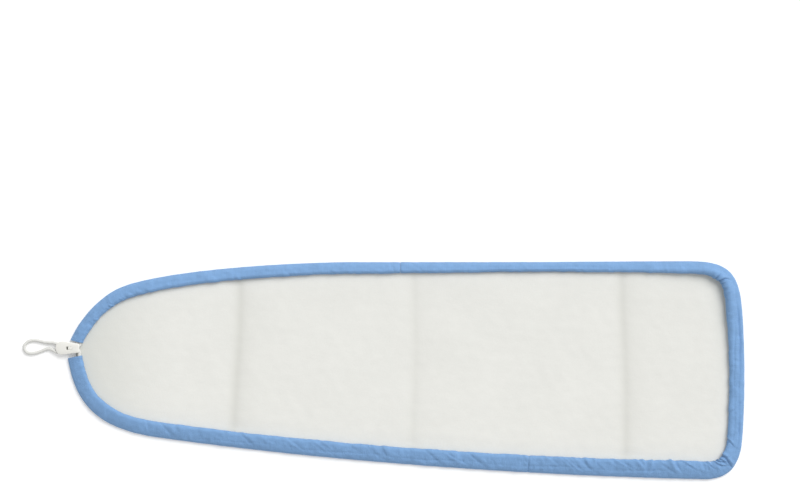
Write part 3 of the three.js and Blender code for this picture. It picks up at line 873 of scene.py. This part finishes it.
def closedPad(name, under, top, flat):
    # two skins over the same net, joined round their edge
    count = len(padPoints)
    points = np.concatenate([np.column_stack([flat, top]), np.column_stack([flat, under])])
    faces = padFaces + [[i + count for i in face[::-1]] for face in padFaces]
    for i in range(padBorder):
        after = (i + 1) % padBorder
        faces.append([i, after, after + count, i + count])
    piece = newPiece(name, points, faces)
    body = bmesh.new()
    body.from_mesh(piece.data)
    bmesh.ops.recalc_face_normals(body, faces=body.faces)
    body.to_mesh(piece.data)
    body.free()
    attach(piece, "cover")
    return piece


faceLift = faceLevels()
feltFlat = padPoints.copy()
feltFlat[:padBorder] += rimAt(padLengths[:padBorder])[:, rimInward] * (pad["feltInset"] - pad["faceInset"])
feltUnder, feltOver, paintedCreaseShares = feltLevels(faceLift)
feltPad = closedPad("feltPad", feltUnder, feltOver, feltFlat)
# painted shade along the creases, as a share for the felt's colour
addShares(feltPad, "paintedCreaseShade", np.tile(paintedCreaseShares, 2))
# painted shade towards the nose and painted shadow by the casing's far corner, as a share for the felt's
# colour
addShares(feltPad, "handlingAndShade", np.tile(paintedShadeShares(), 2))
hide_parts("felt_pad")

faceCloth = closedPad("faceCloth", faceLift, faceLift + cover["clothThickness"], padPoints)
corner, second, third = padPoints[np.array(padFaces)].transpose(1, 0, 2)
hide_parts("cover_panel")

# Stitches, each a short raised thread

stitch = {
    "length": 2.7,
    "gap": 0.7,
    "radius": 0.2,
    "sides": 5,
    # its rings: shares of its length, rise off the cloth, shares of its radius
    "rings": [(0, -0.18, 0.45), (0.2, 0.08, 1), (0.5, 0.14, 1), (0.8, 0.08, 1), (1, -0.18, 0.45)],
    "hemInset": 6.0,
    "hemRun": slice(15, 50),  # of a section's points, from low on the outer side into the inner fold
    "topPoint": 30,
    "seamPoint": 4,
}


def stitchRow(name, line, outward):
    # stitches along a line of places, bowed a little off the cloth
    shares, rises, sizes = (np.array(values) for values in zip(*stitch["rings"]))
    sides = stitch["sides"]
    along = lengthsAlong(line)
    points, faces = [], []
    for at in np.arange(1.0, along[-1] - stitch["length"], stitch["length"] + stitch["gap"]):
        where = at + stitch["length"] * shares
        middle, off = rowsAt(where, along, line), unit(rowsAt(where, along, outward))
        heading = middle[-1] - middle[0]
        heading /= np.linalg.norm(heading)
        middle = middle + off * rises[:, None]
        side = np.cross(heading, off)
        start = len(points)
        for place, up, across, size in zip(middle, off, side, sizes):
            for turn in 2 * math.pi * np.arange(sides) / sides:
                around = up * math.cos(turn) + across * math.sin(turn)
                points.append(place + stitch["radius"] * size * around)
        faces += skinFaces(len(shares), sides, start)
        faces.append(list(range(start, start + sides))[::-1])
        faces.append(list(range(len(points) - sides, len(points))))
    piece = newPiece(name, points, faces)
    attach(piece, "cover")
    return piece


def outwardOf(rings, station):
    around = np.gradient(rings[station], axis=0)
    return unit(np.cross(around, rings[station + 1] - rings[station - 1]))


def hemStitches(name, rings, lengths, mouth):
    # across the casing, over its top
    station = int(np.argmin(np.abs(np.abs(lengths - mouth) - stitch["hemInset"])))
    off = outwardOf(rings, station)
    if off[stitch["topPoint"], 2] < 0:
        off = -off
    return stitchRow(name, rings[station][stitch["hemRun"]], off[stitch["hemRun"]])


threads = [
    hemStitches("hemStitchesFar", farRings, farLengths, upperMouth),
    hemStitches("hemStitchesNear", nearRings, nearLengths, lowerMouth),
]
for side, rings in (("FarSide", farRings), ("WideEnd", wideRings), ("NearSide", nearRings)):
    line = rings[2:-2, stitch["seamPoint"]]
    threads.append(stitchRow("seamStitches" + side, line, np.tile((0.0, 0.0, -1.0), (len(line), 1))))
print("stitches made")

# The cord lock: a moulded housing with a wedge in it

lock = {
    "length": 40.0,
    "roofReach": 5.6,  # how far its roof reaches over the bend of the cord
    "narrowWidth": 16.6,
    "wideCorner": 14.07,  # half the width at which the sides' lines would meet the wide end's
    "wideFlat": 0.3,  # half the flat that is left in the middle of the wide end
    "thickness": 9.4,
    "overlap": 2.0,  # how far a cutter reaches past the ends
    "cornerRadius": 3.0,
    "rimRounding": 1.7,
    "crown": [(2.0, 0.32), (2.6, 0.2), (2.6, 0.1)],  # steps in over the top, and how far each rises
    "bore": 3.3,
    "window": (7.3, 18.9, 5.6, 1.2),  # its ends, its width and its corners
    "windowLip": ((0.2, 0.03), (0.2, 0.08), (0.15, 0.16), (1.5, 1.2)),  # rise and growth of each step
    "boreEnd": 2.0,  # the plain bore ends this far inside, and widens from there
    "boreLip": ((1.2, 0.1), (1.0, 0.35), (3.0, 0.3)),
    "chamberShare": 0.97,  # of the bore's radius
}

wedge = {
    "front": 5.0,
    "back": 29.0,
    "halfHeight": 3.0,
    "toothPitch": 2.0,
    "toothDepth": 0.5,
    "knob": (7.45, 15.6, 5.3, 1.1, 5.6),  # its ends, width, corners and top
    "core": (15.9, 21.0, 4.6, 0.8, -3.6),  # the hollow behind the knob: ends, width, corners, floor
    "grooves": (10.27, 12.93),
    "grooveDepth": 0.5,
    "toothFlank": 0.3,
    "knobRounding": 0.45,
}


def setMode(mode):
    bpy.ops.object.mode_set(mode=mode)


def selectOnly(body=None):
    bpy.ops.object.select_all(action="DESELECT")
    if body:
        body.select_set(True)
        bpy.context.view_layer.objects.active = body


def applyPlace():
    bpy.ops.object.transform_apply(location=True, rotation=True, scale=True)


def selectParts(kind, test):
    # in edit mode, selects only the edges or faces that the test holds for
    bpy.ops.mesh.select_mode(type=kind)
    bpy.ops.mesh.select_all(action="DESELECT")
    body = bmesh.from_edit_mesh(bpy.context.object.data)
    for part in body.edges if kind == "EDGE" else body.faces:
        part.select_set(bool(test(part)))
    bmesh.update_edit_mesh(bpy.context.object.data)


def startBlock(name, front, back, width, bottom, top):
    # a block with its middle on the lock's middle line, ready to shape in edit mode
    selectOnly()
    bpy.ops.mesh.primitive_cube_add(
        size=1, location=((front + back) / 2 * mm, 0, (bottom + top) / 2 * mm),
        scale=((back - front) * mm, width * mm, (top - bottom) * mm))
    block = bpy.context.object
    block.name = name
    applyPlace()
    setMode("EDIT")
    return block


def upright(edge):
    one, other = (vert.co for vert in edge.verts)
    return abs(one.x - other.x) < 1e-6 and abs(one.y - other.y) < 1e-6


def narrowEnd(face):
    return face.normal.x < -0.9


def roundEdges(test, radius, segments):
    selectParts("EDGE", test)
    bpy.ops.mesh.bevel(offset=radius * mm, segments=segments, affect="EDGES", clamp_overlap=False)


def scaleAcross(kind, test, share):
    # moves edges or faces towards the middle line
    selectParts(kind, test)
    bpy.ops.transform.resize(value=(1, share, 1), center_override=(0, 0, 0))


def cutAcross(places):
    # adds a ring of edges round the block at each place along it
    for at in places:
        bpy.ops.mesh.select_all(action="SELECT")
        bpy.ops.mesh.bisect(plane_co=(at * mm, 0, 0), plane_no=(1, 0, 0))


def roundedBlock(name, front, back, width, corner, bottom, top):
    block = startBlock(name, front, back, width, bottom, top)
    roundEdges(upright, corner, 6)
    setMode("OBJECT")
    return block


def growEnd(axis, length, growth, centre, size):
    # pulls the selected end face out and makes it larger all round
    move = [0, 0, 0]
    move["xyz".index(axis)] = length * mm
    bpy.ops.mesh.extrude_region_move(TRANSFORM_OT_translate={"value": move})
    scale = [1 if value is None else 1 + 2 * growth / value for value in size]
    bpy.ops.transform.resize(value=scale, center_override=[value * mm for value in centre])


def windowCutter():
    front, back, width, corner = lock["window"]
    top = lock["thickness"] / 2 + 0.05
    cutter = roundedBlock("windowCutter", front, back, width, corner, 0, top)
    setMode("EDIT")
    selectParts("FACE", lambda face: face.normal.z > 0.9)
    for rise, growth in lock["windowLip"]:
        growEnd("z", rise, growth, ((front + back) / 2, 0, top), (back - front, width, None))
    setMode("OBJECT")
    return cutter


def lockBody():
    level = lock["thickness"] / 2
    front, long, wide = -lock["roofReach"], lock["length"] + lock["roofReach"], 2 * lock["wideCorner"]
    body = startBlock("lockHousing", front, lock["length"], wide, -level, level)
    scaleAcross("FACE", narrowEnd, lock["narrowWidth"] / 2 / lock["wideCorner"])
    wideRound, roofEdge = lock["wideCorner"] - lock["wideFlat"], (front + 0.01) * mm
    roundEdges(lambda edge: upright(edge) and edge.verts[0].co.x > 0, wideRound, 20)
    roundEdges(lambda edge: upright(edge) and edge.verts[0].co.x < roofEdge, lock["cornerRadius"], 6)
    roundEdges(lambda edge: abs(edge.verts[0].co.z - edge.verts[1].co.z) < 1e-6, lock["rimRounding"], 5)
    selectParts("FACE", lambda face: face.normal.z > 0.99 and face.calc_area() > 1e-4)
    for step, rise in lock["crown"]:
        level += rise
        growEnd("z", rise, -step, (long / 2 - lock["roofReach"], 0, level), (long, wide, None))
    setMode("OBJECT")
    return body


def combine(body, other, operation):
    modifier = body.modifiers.new("cut", "BOOLEAN")
    modifier.operation = operation
    modifier.solver = "EXACT"
    modifier.object = other
    selectOnly(body)
    bpy.ops.object.modifier_apply(modifier=modifier.name)
    bpy.data.objects.remove(other)


def strandBore(side):
    off, gain = lockFrame["strandOff"]
    middle = lock["length"] / 2
    selectOnly()
    bpy.ops.mesh.primitive_cylinder_add(
        vertices=32, radius=lock["bore"] * mm, depth=(lock["length"] - 2 * lock["boreEnd"]) * mm,
        location=(middle * mm, side * (off + gain * middle) * mm, 0),
        rotation=(0, math.pi / 2, side * math.atan(gain)))
    cutter = bpy.context.object
    applyPlace()
    setMode("EDIT")
    for way in (-1, 1):
        at = middle + way * (middle - lock["boreEnd"])
        selectParts("FACE", lambda face: way * face.normal.x > 0.9)
        for length, growth in lock["boreLip"]:
            centre = (at, side * (off + gain * at), 0)
            growEnd("x", way * length, growth, centre, (None, 2 * lock["bore"], 2 * lock["bore"]))
    setMode("OBJECT")
    return cutter


def chamberCutter():
    # the space between the two strands, wider towards the wide end
    off, gain = lockFrame["strandOff"]
    front, back = -lock["overlap"], lock["length"] + lock["overlap"]
    half = lock["chamberShare"] * lock["bore"]
    cutter = startBlock("chamberCutter", front, back, 2 * (off + gain * back), -half, half)
    scaleAcross("FACE", narrowEnd, (off + gain * front) / (off + gain * back))
    setMode("OBJECT")
    return cutter


def underRoof():
    # the housing is open on three sides over the bend of the cord
    front, wide = -lock["roofReach"] - 3 * lock["overlap"], 30
    return roundedBlock("roofCutter", front, 0.0, wide, lock["rimRounding"], -lock["thickness"], lock["bore"])


def wedgeBody():
    # a tapered bar whose flanks are cut into teeth, and a ribbed knob on it
    front, back, half, pitch = (wedge[key] for key in ("front", "back", "halfHeight", "toothPitch"))
    off, gain = lockFrame["strandOff"]
    root = -lock["bore"] - wedge["toothDepth"]
    wide = off + gain * back + root
    bar = startBlock("lockWedge", front, back, 2 * wide, -half, half)
    scaleAcross("FACE", narrowEnd, (off + gain * front + root) / wide)
    tips = np.arange(front + pitch - wedge["toothFlank"], back - 0.5, pitch)
    for tip in tips:
        cutAcross((tip, tip + wedge["toothFlank"]))
    for tip in tips:
        reach = off + gain * tip + root
        scaleAcross("EDGE", lambda edge: upright(edge) and abs(edge.verts[0].co.x - tip * mm) < 0.05 * mm,
                    (reach + wedge["toothDepth"]) / reach)
    setMode("OBJECT")
    knobFront, knobBack, width, corner, top = wedge["knob"]
    knob = roundedBlock("knob", knobFront, knobBack, width, corner, half - 0.3, top)
    setMode("EDIT")
    rim = (top - 0.01) * mm
    roundEdges(lambda edge: all(vert.co.z > rim for vert in edge.verts), wedge["knobRounding"], 3)
    for groove in wedge["grooves"]:
        cutAcross((groove - 0.5, groove, groove + 0.5))
        selectParts("EDGE", lambda edge: all(
            abs(vert.co.x - groove * mm) < 0.02 * mm and vert.co.z > (top - 0.5) * mm for vert in edge.verts))
        bpy.ops.transform.translate(value=(0, 0, -wedge["grooveDepth"] * mm))
    setMode("OBJECT")
    combine(bar, knob, "UNION")
    coreFront, coreBack, width, corner, coreFloor = wedge["core"]
    combine(bar, roundedBlock("core", coreFront, coreBack, width, corner, coreFloor, top), "DIFFERENCE")
    return bar


def putInPlace(body):
    # from the lock's own frame to the row's
    selectOnly(body)
    x, y = Vector(lockFrame["towardsWideEnd"]), Vector((0, -1, 0))
    turned = Matrix((x, y, x.cross(y))).transposed().to_4x4()
    body.matrix_world = Matrix.Translation(Vector(lockFrame["narrowEnd"]) * mm) @ turned
    applyPlace()
    bpy.ops.object.shade_smooth_by_angle(angle=math.radians(32))


lockHousing = lockBody()
for cutter in (underRoof(), chamberCutter(), strandBore(-1), strandBore(1), windowCutter()):
    combine(lockHousing, cutter, "DIFFERENCE")
putInPlace(lockHousing)
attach(lockHousing, "lock")
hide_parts("lock_housing")

lockWedge = wedgeBody()
putInPlace(lockWedge)
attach(lockWedge, "wedge")
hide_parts("lock_wedge")
print("cord lock made,", len(lockHousing.data.polygons), "faces")

# Materials


def linear(hexColour):
    # an sRGB hex colour as Blender's linear one
    parts = [int(hexColour[i:i + 2], 16) / 255 for i in (1, 3, 5)]
    return [p / 12.92 if p <= 0.04045 else ((p + 0.055) / 1.055) ** 2.4 for p in parts] + [1]


def addNode(tree, kind, inputs=None, **settings):
    node = tree.nodes.new("ShaderNode" + kind)
    for key, value in settings.items():
        setattr(node, key, value)
    for key, value in (inputs or {}).items():
        if isinstance(value, bpy.types.NodeSocket):
            tree.links.new(value, node.inputs[key])
        else:
            node.inputs[key].default_value = value
    return node


def newMaterial(name, roughness, ior=1.5, specular=0.5, sheen=(0.0, 0.5)):
    material = bpy.data.materials.new(name)
    material.use_nodes = True
    tree = material.node_tree
    shader = tree.nodes["Principled BSDF"]
    for key, value in (("Roughness", roughness), ("IOR", ior), ("Specular IOR Level", specular),
                       ("Sheen Weight", sheen[0]), ("Sheen Roughness", sheen[1])):
        shader.inputs[key].default_value = value
    return material, tree, shader


def worked(tree, operation, *values):
    return addNode(tree, "Math", dict(enumerate(values)), operation=operation).outputs[0]


def objectPlaces(tree):
    return addNode(tree, "TexCoord").outputs["Object"]


def wavesOf(tree, coordinates, pitch):
    # plain weave: threads over and under each other every pitch, in metres
    turns = addNode(tree, "VectorMath", {0: coordinates, 1: [2 * math.pi / pitch] * 3}, operation="MULTIPLY")
    parts = addNode(tree, "SeparateXYZ", {0: turns.outputs[0]}).outputs
    return worked(tree, "MULTIPLY", worked(tree, "SINE", parts[0]), worked(tree, "SINE", parts[1]))


def streaks(tree, coordinates, stretch, detail=2.0, kind="FBM", turn=0.0):
    # noise drawn out along one direction, as uneven yarn is
    placed = addNode(tree, "Mapping", {
        "Vector": coordinates, "Scale": stretch, "Rotation": (0, 0, math.radians(turn))})
    return addNode(tree, "TexNoise", {
        "Vector": placed.outputs[0], "Scale": 1.0, "Detail": detail}, noise_type=kind).outputs["Fac"]


def ranged(tree, value, low, high):
    return addNode(tree, "MapRange", {
        "Value": value, "From Min": 0.3, "From Max": 0.7, "To Min": low, "To Max": high}).outputs["Result"]


def tinted(tree, colour, *values):
    # a colour made lighter or darker by the product of values near 1
    value = values[0]
    for other in values[1:]:
        value = worked(tree, "MULTIPLY", value, other)
    return addNode(tree, "HueSaturation", {"Color": linear(colour), "Value": value}).outputs[0]


def mixedWith(tree, colour, attribute, other):
    share = addNode(tree, "Attribute", attribute_name=attribute).outputs["Fac"]
    inputs = {"Factor": share, 6: colour, 7: linear(other)}
    return addNode(tree, "Mix", inputs, data_type="RGBA", blend_type="MIX").outputs[2]


def surfaced(tree, shader, colour, layers):
    # the colour, and layers of (height, depth in metres), each on the last
    tree.links.new(colour, shader.inputs["Base Color"])
    normal = {}
    for height, depth in layers:
        bump = addNode(tree, "Bump", {"Height": height, "Distance": depth, "Strength": 1.0, **normal})
        normal = {"Normal": bump.outputs["Normal"]}
    tree.links.new(normal["Normal"], shader.inputs["Normal"])


def clothMaterial(name, onMap):
    # dyed polyester-cotton press cloth, plain woven: matt, with a faint sheen at a low angle and
    # slightly uneven yarn. Its threads are 0.45 mm apart, drawn at 0.9 mm so that they show.
    material, tree, shader = newMaterial(name, 0.84, specular=0.25, sheen=(0.12, 0.45))
    if onMap:
        coordinates = addNode(tree, "UVMap", uv_map="clothMap").outputs[0]
    else:
        coordinates = objectPlaces(tree)
    weave = wavesOf(tree, coordinates, 0.9 * mm)
    warp = streaks(tree, coordinates, (45, 700, 700))
    weft = streaks(tree, coordinates, (700, 45, 700))
    soft = streaks(tree, coordinates, (38, 38, 38), 3.0)
    yarn = worked(tree, "MULTIPLY", worked(tree, "ADD", warp, weft), 0.5)
    threads = addNode(tree, "MapRange", {"Value": weave, "From Min": -1.0, "To Min": 0.97, "To Max": 1.03})
    colour = tinted(tree, "#80a8d6", ranged(tree, yarn, 0.94, 1.06), ranged(tree, soft, 0.95, 1.04),
                    threads.outputs["Result"])
    crumple = streaks(tree, coordinates, (95, 60, 80), 4.0, turn=35)
    creased = streaks(tree, coordinates, (70, 32, 50), 2.0, "RIDGED_MULTIFRACTAL", 40)
    surfaced(tree, shader, colour, [
        (creased, 0.5 * mm), (crumple, 1.6 * mm), (yarn, 0.4 * mm), (weave, 0.08 * mm)])
    return material


def feltMaterial():
    # needled polyester felt, off-white: dull and matt with a cloudy, fibrous surface, with painted
    # shade along the creases, towards the nose and by the far corner of the casing. Its fibres are
    # about 0.02 mm thick, drawn as tufts of 1 to 3 mm.
    material, tree, shader = newMaterial("needledFelt", 0.97, specular=0.15, sheen=(0.1, 0.7))
    coordinates = objectPlaces(tree)
    tufts = streaks(tree, coordinates, (420, 700, 500), 4.0)
    clouds = streaks(tree, coordinates, (55, 75, 60), 3.0)
    broad = streaks(tree, coordinates, (9, 11, 9), 2.0)
    feltColour = tinted(tree, "#e9e9e4", ranged(tree, tufts, 0.985, 1.01), ranged(tree, clouds, 0.99, 1.008),
                   ranged(tree, broad, 0.985, 1.01))
    # painted shade: greyer colours mixed in along the creases, towards the nose and by the casing's far
    # corner
    feltWithPaintedShade = mixedWith(tree, mixedWith(tree, feltColour, "paintedCreaseShade", "#dbdbd5"), "handlingAndShade", "#d9dad4")
    surfaced(tree, shader, feltWithPaintedShade, [(clouds, 0.35 * mm), (tufts, 0.16 * mm)])
    return material


def cordMaterial():
    # braided white polyester cord: its bundles are modelled, and this adds the fine filaments
    # along them, drawn 0.35 mm apart, and a slight greying from hands
    material, tree, shader = newMaterial("braidedPolyester", 0.72, specular=0.35, sheen=(0.1, 0.5))
    onCord = addNode(tree, "UVMap", uv_map="braidMap").outputs[0]
    filaments = streaks(tree, onCord, (900, 60, 1), 2.0)
    handlingAndShade = streaks(tree, objectPlaces(tree), (120, 120, 120), 3.0)
    colour = tinted(tree, "#e2e2de", ranged(tree, filaments, 0.93, 1.03), ranged(tree, handlingAndShade, 0.97, 1.02))
    surfaced(tree, shader, colour, [(filaments, 0.12 * mm)])
    return material


def plasticMaterial():
    # injection-moulded polypropylene, off-white: smooth and waxy with a broad dull highlight, a
    # faint spark-eroded grain of 0.3 mm and a trace of flow in its colour
    material, tree, shader = newMaterial("mouldedPolypropylene", 0.4, 1.49)
    coordinates = objectPlaces(tree)
    grain = streaks(tree, coordinates, (3000, 3000, 3000), 2.0)
    flow = streaks(tree, coordinates, (60, 140, 90), 3.0)
    tree.links.new(ranged(tree, grain, 0.36, 0.46), shader.inputs["Roughness"])
    surfaced(tree, shader, tinted(tree, "#f1f0ea", ranged(tree, flow, 0.98, 1.01)), [(grain, 0.02 * mm)])
    return material


def threadMaterial():
    # spun polyester sewing thread, dyed with the cloth and a little lighter: two plies twisted
    material, tree, shader = newMaterial("sewingThread", 0.6)
    twist = streaks(tree, objectPlaces(tree), (1500, 1500, 1500), 1.0)
    surfaced(tree, shader, tinted(tree, "#8fb2dc", ranged(tree, twist, 0.94, 1.05)), [(twist, 0.05 * mm)])
    return material


def dress(material, *pieces):
    for piece in pieces:
        piece.data.materials.clear()
        piece.data.materials.append(material)


dress(clothMaterial("plainWovenCasing", True), casingFarSide, casingWideEnd, casingNearSide)
dress(clothMaterial("plainWovenPanel", False), faceCloth)
dress(feltMaterial(), feltPad)
dress(cordMaterial(), drawcord, pullLoop)
dress(plasticMaterial(), lockHousing, lockWedge)
dress(threadMaterial(), *threads)
print("materials made")

# Floor and light

studio = {
    "floorLevel": -0.5,
    "floorSide": 8.0,  # metres
    "sky": 0.55,
    "key": 2.1,
    "keyAngle": 38.0,  # how wide the key light is, in degrees, as a large soft box is
    "keyHeight": 43.0,
    "keyTurn": 38.0,  # from the far side towards the wide end
    "floorWhite": 0.18,  # how much of the white comes from the paper itself
}

bpy.ops.object.select_all(action="DESELECT")
bpy.ops.mesh.primitive_plane_add(size=studio["floorSide"], location=(0, 0, studio["floorLevel"] * mm))
floor = bpy.context.object
floor.name = "studioFloor"


def seenBy(tree, *kinds):
    # 1 for rays of these kinds and 0 for others
    path = addNode(tree, "LightPath").outputs
    seen = path[kinds[0]]
    for kind in kinds[1:]:
        seen = worked(tree, "MAXIMUM", seen, path[kind])
    return seen


def floorMaterial():
    # white studio paper: seen by the camera or in a gloss it is lifted to white, and it keeps shadows
    material, tree, shader = newMaterial("whitePaper", 1.0, specular=0.0)
    shader.inputs["Base Color"].default_value = linear("#fbfbfb")
    shader.inputs["Emission Color"].default_value = (1, 1, 1, 1)
    seen = seenBy(tree, "Is Camera Ray", "Is Glossy Ray", "Is Transmission Ray")
    tree.links.new(worked(tree, "MULTIPLY", seen, studio["floorWhite"]), shader.inputs["Emission Strength"])
    return material


dress(floorMaterial(), floor)

world = bpy.data.worlds.new("studioWorld")
world.use_nodes = True
scene.world = world
sky = world.node_tree.nodes["Background"]
sky.inputs["Color"].default_value = (1, 1, 1, 1)
shown = seenBy(world.node_tree, "Is Camera Ray", "Is Transmission Ray")
strength = addNode(world.node_tree, "MapRange", {"Value": shown, "To Min": studio["sky"], "To Max": 1.0})
world.node_tree.links.new(strength.outputs["Result"], sky.inputs["Strength"])

height, turn = math.radians(studio["keyHeight"]), math.radians(studio["keyTurn"])
towards = Vector((math.sin(turn) * math.cos(height), math.cos(turn) * math.cos(height), math.sin(height)))
bpy.ops.object.light_add(type="SUN", location=towards * 3)
keyLamp = bpy.context.object
keyLamp.name = "keyLamp"
keyLamp.data.angle = math.radians(studio["keyAngle"])
keyLamp.data.energy = studio["key"]
keyLamp.rotation_euler = towards.to_track_quat("Z", "Y").to_euler()
scene.view_settings.view_transform = "Standard"
print("floor and lamps set")
